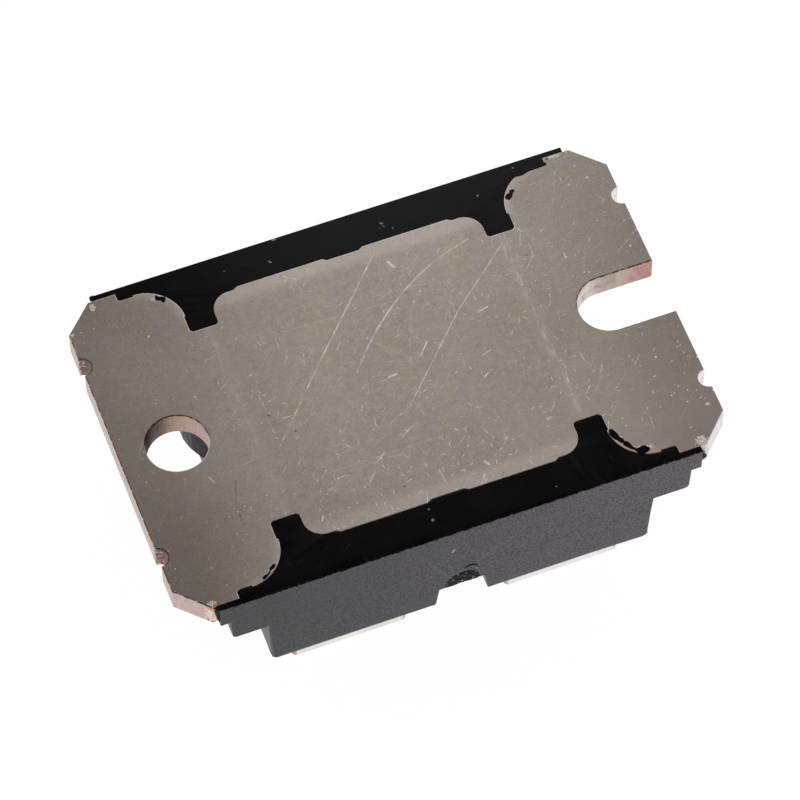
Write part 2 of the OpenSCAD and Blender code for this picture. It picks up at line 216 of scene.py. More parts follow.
def paint(red, green, blue):
    """A colour as the linear values that a node takes, from the 0 to 255 values of a paint program."""
    linear = [((c / 255 + 0.055) / 1.055) ** 2.4 if c > 10 else c / 255 / 12.92 for c in (red, green, blue)]
    return (*linear, 1.0)


print("node helper ready")

# %% [markdown]
# ## Floor and light
#
# Small parts are photographed on a white sweep under a soft dome. We make the dome with the world: bright
# near the horizon, where it lights the walls, and darker overhead, which is what the flat base mirrors. One
# soft panel hangs where the base mirrors it, so that the middle of the plate is a little brighter than its
# ends.
#
# The floor has to look white to the camera and in the metal, yet keep the part's shadow. Its material mixes
# a white glow, seen only by camera, mirror and glass rays, with an ordinary matt white that the shadow
# falls on.

# %% Make the floor
floor_mesh = bpy.data.meshes.new("white_sweep")
floor_shape = bmesh.new()
bmesh.ops.create_grid(floor_shape, x_segments=1, y_segments=1, size=3.0)
bmesh.ops.translate(floor_shape, verts=floor_shape.verts, vec=(0, 0, -0.02 * MM))
floor_shape.to_mesh(floor_mesh)
floor_shape.free()
floor = bpy.data.objects.new("white_sweep", floor_mesh)
bpy.context.scene.collection.objects.link(floor)
floor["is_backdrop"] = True

white = bpy.data.materials.new("white_sweep")
white.use_nodes = True
white.node_tree.nodes.clear()
w = Wires(white.node_tree)
rays = w.add("ShaderNodeLightPath").outputs
seen = w.most(rays["Is Camera Ray"], rays["Is Glossy Ray"], rays["Is Transmission Ray"])
glow = w.add("ShaderNodeEmission", {"Color": (1, 1, 1, 1), "Strength": 1.1}).outputs[0]
matt = w.add("ShaderNodeBsdfDiffuse", {"Color": (0.9, 0.9, 0.9, 1)}).outputs[0]
mixed = w.add("ShaderNodeMixShader", {0: w.product(seen, 0.88), 1: matt, 2: glow}).outputs[0]
w.feed(w.add("ShaderNodeOutputMaterial").inputs["Surface"], mixed)
floor_mesh.materials.append(white)
print("floor made")

# %% Light the dome and hang the panel
world = bpy.data.worlds.new("studio_dome")
bpy.context.scene.world = world
world.use_nodes = True
w = Wires(world.node_tree)
height = w.xyz(w.add("ShaderNodeTexCoord").outputs["Generated"])["Z"]
HORIZON, OVERHEAD = 1.0, 0.085
level = w.add("ShaderNodeMapRange", {"Value": height, "To Min": HORIZON, "To Max": OVERHEAD})
dome = world.node_tree.nodes["Background"]
w.feed(dome.inputs["Strength"], level.outputs[0])
dome.inputs["Color"].default_value = (1, 1, 1, 1)

panel_data = bpy.data.lights.new("soft_panel", "AREA")
panel_data.shape = "RECTANGLE"
panel_data.size = 34 * MM
panel_data.size_y = 50 * MM
panel_data.energy = 0.0023
panel = bpy.data.objects.new("soft_panel", panel_data)
mirrored_point = Vector((4, 8, 12)) * MM
panel_way = mirrored_point - camera.location
panel_way.z = -panel_way.z
panel_way.normalize()
panel.location = mirrored_point + panel_way * 55 * MM
panel.rotation_euler = panel_way.to_track_quat("Z", "Y").to_euler()
panel.visible_camera = False
bpy.context.scene.collection.objects.link(panel)
print("dome and panel lit")

# %% [markdown]
# ## Marks that several finishes share
#
# A scuffed metal face carries long scratches in known places, many short hairlines in any direction,
# specks, blotches and slow stains. Painting them as a picture would tie the finish to one size, so each of
# the five is a node group that works out its mask from the object's millimetres:
#
# - **stroke** measures the distance to one straight line from start to end.
# - **hairlines** lays one short line, turned at random, in each cell of a Voronoi pattern.
# - **specks** keeps a small dot at the heart of some cells.
# - **bruise** is a blotch with a broken outline around one point.
# - **clouds** is slow mottling, such as stain and tarnish.

# %% Group: one scratch from start to end
w, given, mask = new_group(
    "stroke",
    {"Place": "Vector", "Start": "Vector", "End": "Vector", "Width": "Float",
     "Wander": "Float", "Worn": "Float"},
    "Mask",
)
flat = w.vector("MULTIPLY", given["Place"], (1, 1, 0))
along = w.vector("SUBTRACT", given["End"], given["Start"])
away = w.vector("SUBTRACT", flat, given["Start"])
share = w.math("DIVIDE", w.vector("DOT_PRODUCT", away, along), w.vector("DOT_PRODUCT", along, along))
share = w.math("MINIMUM", w.math("MAXIMUM", share, 0.0), 1.0)
nearest = w.vector("ADD", given["Start"], w.times(along, share))
off = w.math("ABSOLUTE", w.math("ADD", w.vector("DISTANCE", flat, nearest), given["Wander"]))
line = w.step(off, given["Width"], 0.0)
w.feed(mask, w.product(line, given["Worn"]))
stroke = w.tree


def scratched(w, place, marks):
    """One mask for a list of marks, each with its start, end, width and strength."""
    wander = w.waver(place, 0.7, 0.12, detail=2.0)
    worn = w.step(w.noise(place, 0.45, 3.0), 0.3, 0.6, 0.35, 1.0)
    found = 0.0
    for start, end, width, strength in marks:
        ends = {"Start": (*start, 0), "End": (*end, 0)}
        mark = w.use(stroke, Place=place, Width=width, Wander=wander, Worn=worn, **ends)
        found = w.math("MAXIMUM", w.product(mark, strength), found)
    return found


print("scratches ready")

# %% Group: short hairlines at random angles
w, given, mask = new_group(
    "hairlines",
    {"Place": "Vector", "Cell": "Float", "Length": "Float", "Width": "Float", "Share": "Float",
     "Turn": "Float", "Spread": "Float", "Bow": "Float"},
    "Mask",
)
cells = w.add(
    "ShaderNodeTexVoronoi", {"Vector": given["Place"], "Scale": w.math("DIVIDE", 1.0, given["Cell"])},
    voronoi_dimensions="2D",
)
chance = w.add("ShaderNodeSeparateColor", {"Color": cells.outputs["Color"]}).outputs
flat = w.vector("MULTIPLY", given["Place"], (1, 1, 0))
local = w.xyz(w.vector("SUBTRACT", flat, cells.outputs["Position"]))
angle = w.math("MULTIPLY_ADD", w.math("SUBTRACT", chance["Red"], 0.5), given["Spread"], given["Turn"])
cosine = w.math("COSINE", angle)
sine = w.math("SINE", angle)
along = w.math("ADD", w.product(local["X"], cosine), w.product(local["Y"], sine))
across = w.math("SUBTRACT", w.product(local["Y"], cosine), w.product(local["X"], sine))
bow = w.product(w.math("SUBTRACT", chance["Blue"], 0.5), given["Bow"])
bend = w.product(w.product(along, along), bow)
line = w.step(w.math("ABSOLUTE", w.math("ADD", across, bend)), given["Width"], 0.0)
half = w.product(given["Length"], 0.5)
ends = w.step(w.math("ABSOLUTE", along), half, w.product(half, 0.3))
kept = w.step(chance["Green"], given["Share"], w.product(given["Share"], 0.5))
w.feed(mask, w.product(w.product(line, ends), kept))
hairlines = w.tree
print("hairlines take", len(w.tree.nodes), "nodes")

# %% Groups: specks, bruise and clouds
w, given, mask = new_group(
    "specks", {"Place": "Vector", "Cell": "Float", "Size": "Float", "Share": "Float"}, "Mask"
)
wobble = w.add("ShaderNodeTexNoise", {"Vector": given["Place"], "Scale": 9.0}).outputs["Color"]
place = w.vector("ADD", given["Place"], w.times(w.vector("SUBTRACT", wobble, (0.5, 0.5, 0.5)), 0.09))
cells = w.add("ShaderNodeTexVoronoi", {"Vector": place, "Scale": w.math("DIVIDE", 1.0, given["Cell"])})
chance = w.add("ShaderNodeSeparateColor", {"Color": cells.outputs["Color"]}).outputs
reach = w.math("DIVIDE", w.product(given["Size"], chance["Red"]), given["Cell"])
dot = w.step(cells.outputs["Distance"], reach, w.product(reach, 0.5))
kept = w.math("LESS_THAN", chance["Green"], given["Share"])
w.feed(mask, w.product(dot, kept))
specks = w.tree

w, given, mask = new_group(
    "bruise", {"Place": "Vector", "Centre": "Vector", "Reach": "Vector", "Ragged": "Float"}, "Mask"
)
flat = w.vector("MULTIPLY", given["Place"], (1, 1, 0))
away = w.vector("LENGTH", w.vector("DIVIDE", w.vector("SUBTRACT", flat, given["Centre"]), given["Reach"]))
w.feed(mask, w.step(w.math("ADD", away, given["Ragged"]), 1.0, 0.55))
bruise = w.tree


def blotched(w, place, spots):
    """One mask for a list of blotches, each with its centre and its reach along x and y."""
    ragged = w.waver(place, 0.22, 1.6)
    found = 0.0
    for centre, reach in spots:
        spot = w.use(bruise, Place=place, Centre=(*centre, 0), Reach=(*reach, 1), Ragged=ragged)
        found = w.math("MAXIMUM", spot, found)
    return found


w, given, mask = new_group("clouds", {"Place": "Vector", "Size": "Float"}, "Mask")
large = w.add(
    "ShaderNodeTexNoise",
    {"Vector": given["Place"], "Scale": w.math("DIVIDE", 1.0, given["Size"]), "Detail": 3.0},
).outputs[0]
w.feed(mask, w.step(large, 0.32, 0.68))
clouds = w.tree
print("mark groups:", [g.name for g in bpy.data.node_groups])

# %% [markdown]
# ## Nickel, as it comes off a cooler
#
# The base is plated with dull nickel, a warm grey that has lost its shine. It has slid about on a bench, so
# it is covered in hairlines, with a few long scratches that run from the far side down to the left, bright
# dents and spots, dark pits, scuffed corners, and two pale bands where the square notches were pressed in.
# The lists give places in millimetres on the face, and for each scratch a width and a strength too. Noise
# breaks the hairlines up, because whole little strokes look like scattered grains.
#
# A deep scratch looks white because its flank mirrors the bright horizon instead of the dim sky overhead. A
# bump would work that out from the mask's slope, but it needs every mark three times over. Leaning the
# normal to one side where the mask is strong gives the same glint for the price of one sum.

# %% List the scratches, dents and scuffs
BAND_X = 10.25
LOBE_X, LOBE_Y, LOBE_RADIUS = 14.25, 9.0, 2.8
LONG_SCRATCHES = [
    ((1.8, 9.0), (-4.6, 2.2), 0.06, 0.95),
    ((-4.6, 2.2), (-9.0, -2.7), 0.05, 0.62),
    ((10.0, 6.7), (5.6, 3.0), 0.055, 0.7),
    ((5.6, 3.0), (0.0, -2.8), 0.055, 0.75),
    ((0.0, -2.8), (-1.8, -3.6), 0.05, 0.45),
    ((-6.0, 5.6), (-0.6, 5.3), 0.08, 0.2),
    ((-0.6, 5.3), (1.9, 5.2), 0.06, 0.34),
    ((0.6, 6.0), (2.7, 5.9), 0.06, 0.34),
    ((-7.0, -5.6), (3.0, -5.6), 0.1, 0.22),
    ((-0.6, 2.8), (1.4, 0.65), 0.055, 0.28),
    ((2.7, 4.2), (0.95, -0.5), 0.05, 0.24),
    ((7.2, 8.2), (6.6, 7.4), 0.06, 0.34),
    ((12.8, -7.3), (11.9, -8.3), 0.06, 0.4),
    ((12.85, -4.55), (11.8, -6.0), 0.055, 0.34),
    ((-17.8, -0.1), (-17.1, 0.9), 0.055, 0.4),
    ((17.2, 3.6), (18.2, 4.2), 0.055, 0.4),
    ((17.45, 8.25), (17.9, 7.6), 0.055, 0.4),
]
BOW_START, BOW_PULL, BOW_END = Vector((8.2, 8.0)), Vector((2.4, 6.8)), Vector((-2.3, 0.9))
BOW_PARTS = 8
bow_points = []
for part in range(BOW_PARTS + 1):
    t = part / BOW_PARTS
    bow_points.append((1 - t) ** 2 * BOW_START + 2 * t * (1 - t) * BOW_PULL + t ** 2 * BOW_END)
for part, (start, end) in enumerate(zip(bow_points, bow_points[1:])):
    t = (part + 0.5) / BOW_PARTS
    LONG_SCRATCHES.append((start, end, 0.09, 0.34 + 1.8 * t * (1 - t)))
DENTS = [
    ((2.6, 8.2), (2.85, 7.7), 0.17, 1.0),
    ((-4.6, 9.8), (-3.6, 9.15), 0.12, 0.7),
    ((6.8, 2.4), (7.5, 2.6), 0.08, 0.95),
    ((2.05, 0.6), (2.85, 1.5), 0.08, 1.0),
    ((5.9, -0.8), (6.5, -0.6), 0.065, 0.8),
    ((5.4, -2.4), (6.1, -2.0), 0.065, 0.8),
    ((-1.3, -4.8), (-0.3, -4.2), 0.065, 0.8),
    ((3.1, -8.4), (3.3, -8.7), 0.13, 0.8),
    ((2.3, -9.9), (2.75, -9.3), 0.1, 0.6),
    ((-14.0, -3.2), (-13.8, -3.7), 0.12, 0.6),
    ((2.2, -5.45), (2.4, -5.6), 0.12, 0.7),
    ((-8.25, -8.8), (-8.1, -8.5), 0.1, 0.7),
    ((-0.5, -0.2), (0.1, -0.15), 0.1, 0.8),
    ((-17.4, -1.4), (-17.1, -1.8), 0.07, 0.55),
]
BRIGHT_SPOTS = [
    (16.05, 9.6), (17.4, 9.75), (13.75, 4.35), (16.95, 10.9), (16.4, -5.0), (14.6, -5.2),
    (-13.5, 10.45), (-14.2, 8.35), (-12.85, 2.85),
]
PITS = [((-8.8, -0.15), (0.12, 0.1)), ((-7.6, -1.9), (0.1, 0.08)), ((-2.4, -8.3), (0.12, 0.1)),
        ((15.42, 12.1), (0.15, 0.15))]
CREASES = [((-12.5, -4.0), (-12.95, -5.4), 0.06, 0.5), ((-12.95, -5.4), (-13.15, -7.3), 0.05, 0.35)]
SCUFFED_CORNERS = [
    ((15.85, 12.15), (0.75, 0.2)), ((-16.9, 11.8), (0.28, 0.35)), ((-18.85, 10.25), (0.2, 0.16)),
    ((16.85, -11.95), (0.6, 0.5)), ((-16.95, -12.1), (0.4, 0.35)), ((18.3, -9.5), (0.22, 0.15)),
    ((12.9, -11.2), (0.9, 0.35)), ((-12.4, 11.0), (0.7, 0.35)),
]
BARE_CORNER = [((-16.75, -12.22), (0.3, 0.18))]
print(len(LONG_SCRATCHES), "scratches,", len(DENTS), "dents,", len(SCUFFED_CORNERS), "scuffs")

# %% Mix the nickel: its marks
nickel, w, shader = new_finish("dull_nickel", Metallic=1.0)
place = w.millimetres()
x, y = w.xyz(place)[:2]
aside, away = w.math("ABSOLUTE", x), w.math("ABSOLUTE", y)
spots = [((sx, sy), (sx + 0.05, sy + 0.03), 0.1, 1.0) for sx, sy in BRIGHT_SPOTS]
light = scratched(w, place, LONG_SCRATCHES + DENTS + spots)

patches = w.use(clouds, Place=w.moved(place, 11, 23, 0), Size=3.5)
wing = w.step(aside, 9.0, 13.0)
tick_level = w.product(w.math("MULTIPLY_ADD", patches, 0.36, 0.1), w.math("MULTIPLY_ADD", wing, -0.6, 1.0))
near_side = w.step(w.math("ABSOLUTE", w.math("ADD", x, 1.0)), 9.0, 6.0, 0.0, 0.85)
near_side = w.product(w.step(y, -4.0, -7.0), near_side)
beside_band = w.step(w.math("ABSOLUTE", w.math("SUBTRACT", aside, 11.3)), 1.3, 0.4, 0.0, 0.8)
huddle = w.most(w.step(w.noise(place, 1.6, 3.0), 0.48, 0.62), beside_band, near_side)

ANY_WAY = 6.3
long_hair = w.use(
    hairlines, Place=place, Cell=3.1, Length=3.2, Width=0.045, Share=0.4, Turn=0.85, Spread=1.0, Bow=0.12)
ticks = w.use(
    hairlines, Place=place, Cell=0.75, Length=0.6, Width=0.04, Share=0.34, Turn=0.85, Spread=0.9, Bow=0.12)
nicks = w.use(
    hairlines, Place=w.moved(place, 3, 9, 0), Cell=1.5, Length=0.34, Width=0.05, Share=0.2,
    Turn=0.4, Spread=ANY_WAY, Bow=0.4)
curls = w.use(
    hairlines, Place=w.moved(place, 8, 2, 0), Cell=0.55, Length=0.6, Width=0.03, Share=0.55,
    Turn=0.0, Spread=ANY_WAY, Bow=1.2)
rubs = w.use(
    hairlines, Place=w.moved(place, 1, 14, 0), Cell=1.3, Length=1.8, Width=0.034, Share=0.75,
    Turn=0.8, Spread=2.0, Bow=0.4)
painted_flank_shade = w.use(
    hairlines, Place=w.moved(place, 5, 1, 0), Cell=0.8, Length=0.7, Width=0.045, Share=0.4,
    Turn=0.3, Spread=ANY_WAY, Bow=0.6)
scribbles = w.product(w.most(curls, rubs), huddle, 1.1)
hair = w.most(w.product(long_hair, 0.34), w.product(ticks, tick_level), w.product(nicks, 0.95), scribbles)
broken = w.step(w.noise(w.moved(place, 3, 3, 0), 0.28), 0.4, 0.56, 0.1, 1.0)
hair = w.product(hair, broken, w.step(x, -12.5, -9.0, 0.4, 1.0))
print("hairlines laid")

# %% Mix the nickel: its specks, bands and scuffs

dust = w.product(w.use(specks, Place=place, Cell=0.55, Size=0.075, Share=0.4), 0.6)
crowd = w.use(specks, Place=w.moved(place, 2, 6, 0), Cell=0.3, Size=0.08, Share=0.5)
crowd_level = w.product(w.math("MULTIPLY_ADD", wing, 0.45, 0.2), w.step(x, -9.0, 9.0, 0.8, 1.5))
flecks = w.most(dust, w.product(crowd, crowd_level, w.step(w.noise(place, 2.6), 0.46, 0.6)))

streaks = w.noise(w.vector("MULTIPLY", place, (5.0, 0.7, 1.0)), 1.0, 3.0)
band_way = w.math("ABSOLUTE", w.math("SUBTRACT", aside, BAND_X))
patchy = w.product(w.step(w.noise(place, 1.3), 0.36, 0.6, 0.4, 1.0), w.step(x, -1.0, 1.0, 0.6, 1.0))
band = w.product(w.step(band_way, 0.45, 0.05, 0.0, 0.4), w.step(streaks, 0.4, 0.62), patchy)
band = w.most(band, w.step(band_way, 0.9, 0.2, 0.0, 0.07))
crumbled = w.step(w.noise(place, 0.08, 3.0, 0.7), 0.4, 0.6, 0.1, 1.0)
scuffs = w.product(blotched(w, place, SCUFFED_CORNERS), crumbled)
mirrored = w.add("ShaderNodeCombineXYZ", {"X": aside, "Y": away}).outputs[0]
# Painted highlight: a pale band on the face along the inner rims of the four lobes.
lobe_rim = w.step(w.vector("DISTANCE", mirrored, (LOBE_X, LOBE_Y, 0)), LOBE_RADIUS - 0.7, LOBE_RADIUS)
lobe_rim_painted_highlight = w.product(lobe_rim, w.step(aside, 14.8, 13.8), w.step(away, 8.4, 9.4), 0.3)
worn = w.most(light, hair, flecks, scuffs, lobe_rim_painted_highlight, band)
print("marks mixed")

# %% Mix the nickel: its colour and sheen
mottle = w.use(clouds, Place=place, Size=7.0)
cool = w.use(clouds, Place=w.moved(place, 40, 10, 0), Size=2.2)
metal = w.blend(mottle, paint(185, 171, 158), paint(201, 186, 172))
metal = w.blend(w.product(cool, 0.4), metal, paint(192, 178, 173))
tint = w.use(clouds, Place=w.moved(place, 17, 31, 0), Size=3.2)
metal = w.blend(w.product(tint, 0.28), metal, paint(184, 178, 162))
grit = w.noise(place, 0.13, 3.0, 0.65)
metal = w.blend(w.step(grit, 0.48, 0.32, 0.0, 0.42), metal, paint(156, 145, 134))
metal = w.blend(w.step(grit, 0.54, 0.7, 0.0, 0.36), metal, paint(230, 219, 208))
smudge = w.noise(w.moved(place, 19, 7, 0), 0.6, 4.0, 0.7)
calm = w.math("MULTIPLY_ADD", wing, -0.5, 1.0)
metal = w.blend(w.product(w.step(smudge, 0.5, 0.3, 0.0, 0.32), calm), metal, paint(156, 145, 134))
metal = w.blend(w.product(w.step(smudge, 0.52, 0.72, 0.0, 0.26), calm), metal, paint(226, 215, 204))
bluish = w.step(w.noise(w.moved(place, 50, 5, 0), 1.7, 3.0), 0.52, 0.6, 0.0, 0.3)
metal = w.blend(bluish, metal, paint(182, 172, 174))
# Painted shade: the near left end of the face is made darker, where the light falls off.
near_left_painted_shade = w.product(w.step(x, -11.0, -17.5), w.step(y, 6.0, -7.0))
metal = w.blend(w.product(near_left_painted_shade, 0.35), metal, paint(120, 110, 102))
# Painted highlight: the near right of the face is made lighter, where the broad highlight lies.
painted_highlight = w.product(w.step(x, 1.0, 9.0), w.step(y, -2.0, -9.0))
metal = w.blend(w.product(painted_highlight, 0.25), metal, paint(226, 214, 203))
metal = w.blend(worn, metal, paint(252, 242, 231))
bare = blotched(w, place, BARE_CORNER)
metal = w.blend(w.product(bare, 0.8), metal, paint(196, 128, 92))

dark = w.most(w.product(blotched(w, place, PITS), 0.7), scratched(w, place, CREASES))
grime = w.use(specks, Place=w.moved(place, 7, 3, 0), Cell=1.7, Size=0.12, Share=0.35)
# Painted shade: dark hairlines among the scribbles stand for the shaded flanks of scratches.
painted_flank_shade = w.product(w.product(painted_flank_shade, broken), w.math("MULTIPLY_ADD", huddle, 0.35, 0.08))
grey = w.most(dark, w.product(grime, 0.5), painted_flank_shade)
metal = w.blend(grey, metal, paint(70, 62, 54))
w.feed(shader.inputs["Base Color"], metal)

satin = w.step(w.noise(place, 0.25, 3.0), 0.3, 0.7, 0.32, 0.37)
w.feed(shader.inputs["Roughness"], w.math("ADD", satin, w.product(worn, 0.1)))
relief = w.math("SUBTRACT", w.product(grit, 0.3), dust)
glint = w.step(w.most(light, hair, flecks, scuffs), 0.28, 0.6, 0.0, 0.46)
flank = w.vector("ADD", w.bump(0.25, 0.006, relief), w.times((0, 1, 0), glint))
w.feed(shader.inputs["Normal"], w.vector("NORMALIZE", flank))
print("nickel has", len(nickel.node_tree.nodes), "nodes")

# %% [markdown]
# ## Sheared copper
#
# Where the plate was cut out, its edge shows the copper inside, smeared with nickel from the top. A cut
# edge has a dark rolled rim, broken here and there, over a smooth pinkish band that slid along the punch.
# The hole is browner, with painted shade darkening its wall towards the left, the slot runs from whitish at
# its round end to pink at its mouth, and the edge at the right corner and the right notches carries an
# almost white painted highlight. Height gives the rim, places in millimetres give the tints, and noise
# stretched along
# Z the drag lines.

# %% List the tints of the cut edge
HOLE_X, NOTCH_Y = 15.1, 7.65
WHITE_EDGES = [((18.05, -11.3), (1.9, 1.9)), ((18.9, NOTCH_Y), (1.1, 1.1)), ((18.9, -NOTCH_Y), (1.1, 1.1))]
BROWN_NOTCHES = [((-18.8, NOTCH_Y), (0.9, 0.9)), ((-18.8, -NOTCH_Y), (0.9, 0.9))]
BROWN_SPOT = [((-16.75, 1.3), (0.28, 0.28))]
COPPER_CORNER = [((-16.85, -12.3), (0.8, 0.6))]
print(len(WHITE_EDGES), "white edges")

# %% Mix the sheared edge
sheared, w, shader = new_finish("sheared_copper", Metallic=1.0)
place = w.millimetres()
x, y, z = w.xyz(place)
drag = w.noise(w.vector("MULTIPLY", place, (1, 1, 0.18)), 0.16, 3.0)
smear = w.blend(drag, paint(213, 195, 189), paint(199, 171, 162))
edge = w.blend(w.product(w.use(clouds, Place=place, Size=1.6), 0.3), smear, paint(194, 152, 140))

in_slot = w.product(w.step(w.math("ABSOLUTE", y), 2.5, 2.3), w.step(x, 12.0, 12.6))
slot_tint = w.blend(w.step(x, 14.2, 15.6), paint(226, 216, 211), paint(192, 176, 165))
mouth = w.math("ADD", x, w.waver(place, 0.6, 1.6))
slot_tint = w.blend(w.step(mouth, 16.8, 18.3), slot_tint, paint(196, 142, 136))
stain = w.step(w.noise(w.moved(place, 3, 3, 3), 0.9, 3.0), 0.44, 0.68)
slot_tint = w.blend(w.product(stain, 0.5), slot_tint, paint(140, 118, 104))
edge = w.blend(w.product(in_slot, 0.85), edge, slot_tint)
hole_way = w.vector("DISTANCE", w.vector("MULTIPLY", place, (1, 1, 0)), (-HOLE_X, 0, 0))
# Painted shade: the hole's wall is darker towards its left side, with a brown stain over it.
hole_shade_and_stain = w.blend(w.step(x, -16.9, -13.4), paint(112, 88, 74), paint(180, 154, 143))
hole_shade_and_stain = w.blend(w.product(stain, 0.4), hole_shade_and_stain, paint(150, 128, 98))
edge = w.blend(w.product(w.step(hole_way, 2.6, 2.3), 0.85), edge, hole_shade_and_stain)
# Painted highlight: the edge at the right corner and at the right notches is made almost white.
painted_highlight = blotched(w, place, WHITE_EDGES)
edge = w.blend(w.product(painted_highlight, 0.9), edge, paint(246, 240, 240))
edge = w.blend(w.product(blotched(w, place, BROWN_NOTCHES), 0.9), edge, paint(96, 74, 64))

corner = blotched(w, place, COPPER_CORNER)
edge = w.blend(w.product(corner, 0.7), edge, paint(240, 224, 206))
ragged = w.waver(place, 0.3, 0.24)
near_rim = w.step(w.math("MULTIPLY_ADD", ragged, 2.0, z), 11.45, 11.7)
edge = w.blend(w.product(corner, near_rim, 0.8), edge, paint(190, 118, 70))
soot = w.step(w.noise(w.vector("MULTIPLY", place, (1, 1, 0.6)), 0.34, 4.0, 0.65), 0.56, 0.62)
edge = w.blend(w.product(corner, soot, 0.85), edge, paint(62, 42, 34))

broken = w.step(w.noise(place, 0.4, 3.0), 0.36, 0.52)
rim = w.product(broken, w.math("SUBTRACT", 1.0, painted_highlight), w.step(w.math("ADD", z, ragged), 11.88, 11.92))
dark = w.most(w.product(rim, 0.85), w.product(blotched(w, place, BROWN_SPOT), 0.8))
edge = w.blend(dark, edge, paint(80, 55, 46))
w.feed(shader.inputs["Base Color"], edge)
w.feed(shader.inputs["Roughness"], w.step(drag, 0.2, 0.8, 0.36, 0.5))
w.feed(shader.inputs["Normal"], w.bump(0.5, 0.03, drag))
print("sheared edge mixed")

# %% [markdown]
# ## Black epoxy
#
# The block is black epoxy, pressed hot into a steel mould. Its walls carry the fine grain of an eroded
# mould, which makes black look dark grey, and because a gloss mirrors most at a glancing angle, the end
# walls look lighter. The face beside the plate was pressed against a polished insert, so it is smooth and
# nearly black. Where the gate was broken off, the resin is torn and crumbly. These are three finishes of
# one moulding, chosen face by face.

# %% Mix the grained walls
# Painted shadow: a dark line along the top of the resin lip above the gate.
LIP_SHADOW_LINE = [((0.35, 6.85), (0.68, 6.88), 0.07, 0.9), ((0.68, 6.88), (1.0, 6.6), 0.07, 0.9)]
CHIPPED = [
    ((0.9, 6.4), (1.0, 6.34), 0.1, 0.6), ((-1.25, 5.45), (-1.2, 5.38), 0.09, 0.6),
    ((1.14, 5.85), (1.15, 5.2), 0.06, 0.4),
]
FLECK = [((-0.74, 9.4), (-0.6, 9.72), 0.12, 1.0)]
grained, w, shader = new_finish("grained_epoxy", Specular_IOR_Level=0.3)
place = w.millimetres()
x, y, z = w.xyz(place)
grain = w.noise(place, 0.16, 3.0, 0.75)
# Painted light: the grain is darker at the -X end of the block and lighter at the +X end.
painted_light_ramp = w.step(x, -15.0, 15.0)
dark_grain = w.blend(painted_light_ramp, paint(6, 5, 7), paint(34, 32, 36))
light_grain = w.blend(painted_light_ramp, paint(84, 80, 85), paint(118, 113, 119))
resin = w.blend(w.step(grain, 0.41, 0.56), dark_grain, light_grain)
resin = w.blend(w.product(w.use(clouds, Place=place, Size=3.0), 0.15), resin, paint(58, 56, 60))

on_wall = w.add("ShaderNodeCombineXYZ", {"X": x, "Y": z}).outputs[0]
near_wall = w.step(y, -12.0, -12.3)
# The painted shadow line above the lip.
resin = w.blend(w.product(scratched(w, on_wall, LIP_SHADOW_LINE), near_wall), resin, paint(8, 8, 9))
level = w.math("ADD", z, w.waver(place, 0.2, 0.6))
burr = w.step(level, 11.78, 11.86)
resin = w.blend(burr, resin, paint(14, 14, 16))
dust = w.product(w.use(specks, Place=place, Cell=1.1, Size=0.14, Share=0.3), 0.35)
nicks = w.use(specks, Place=w.moved(place, 4, 4, 4), Cell=0.5, Size=0.13, Share=0.45)
nicks = w.product(nicks, w.step(z, 11.55, 11.75, 0.0, 0.9))
chipped = w.product(scratched(w, on_wall, CHIPPED), near_wall)
resin = w.blend(w.most(dust, nicks, chipped), resin, paint(196, 194, 191))
resin = w.blend(w.product(scratched(w, on_wall, FLECK), near_wall), resin, paint(255, 253, 250))
w.feed(shader.inputs["Base Color"], resin)
w.feed(shader.inputs["Roughness"], w.step(grain, 0.3, 0.7, 0.36, 0.5))
w.feed(shader.inputs["Normal"], w.bump(0.5, 0.02, grain))
print("grained walls mixed")

# %% Mix the polished face and the torn gate
DUST_BITS = [
    ((-4.75, 11.1), (-4.68, 10.98), 0.1, 0.8), ((-7.8, 11.42), (-7.74, 11.4), 0.08, 0.6),
    ((3.2, 11.3), (3.32, 11.22), 0.09, 0.7), ((3.28, 11.0), (3.34, 10.96), 0.08, 0.55),
    ((3.02, 10.92), (3.06, 10.9), 0.07, 0.5), ((-3.95, 12.58), (-3.8, 12.6), 0.12, 0.9),
]
# This near-black finish is the polished face, and it also serves as painted shade on the trench walls and
# screw pockets.
polished_and_shade, w, shader = new_finish("polished_epoxy_and_shade", Specular_IOR_Level=0.08)
place = w.millimetres()
x, y = w.xyz(place)[:2]
# The face is greyer on its far side and towards +X, with slow cloudy patches.
far_side = w.product(w.step(y, 2.0, 12.5), w.step(x, -16.0, 4.0, 0.05, 0.75))
far_greyness = w.math("MULTIPLY_ADD", w.use(clouds, Place=place, Size=2.6), 0.12, far_side)
resin = w.blend(far_greyness, paint(5, 5, 7), paint(46, 45, 47))
dust = w.use(specks, Place=place, Cell=1.5, Size=0.14, Share=0.55)
hair = w.use(
    hairlines, Place=place, Cell=1.6, Length=0.9, Width=0.03, Share=0.3, Turn=0.8, Spread=3.0, Bow=0.12)
bits = scratched(w, place, DUST_BITS)
marks = w.most(w.product(dust, 0.5), w.product(hair, 0.05), bits)
resin = w.blend(marks, resin, paint(200, 198, 196))
w.feed(shader.inputs["Base Color"], resin)
w.feed(shader.inputs["Roughness"], w.step(w.noise(place, 0.4, 3.0), 0.3, 0.7, 0.3, 0.42))
w.feed(shader.inputs["Normal"], w.bump(0.15, 0.01, w.noise(place, 0.2, 3.0)))

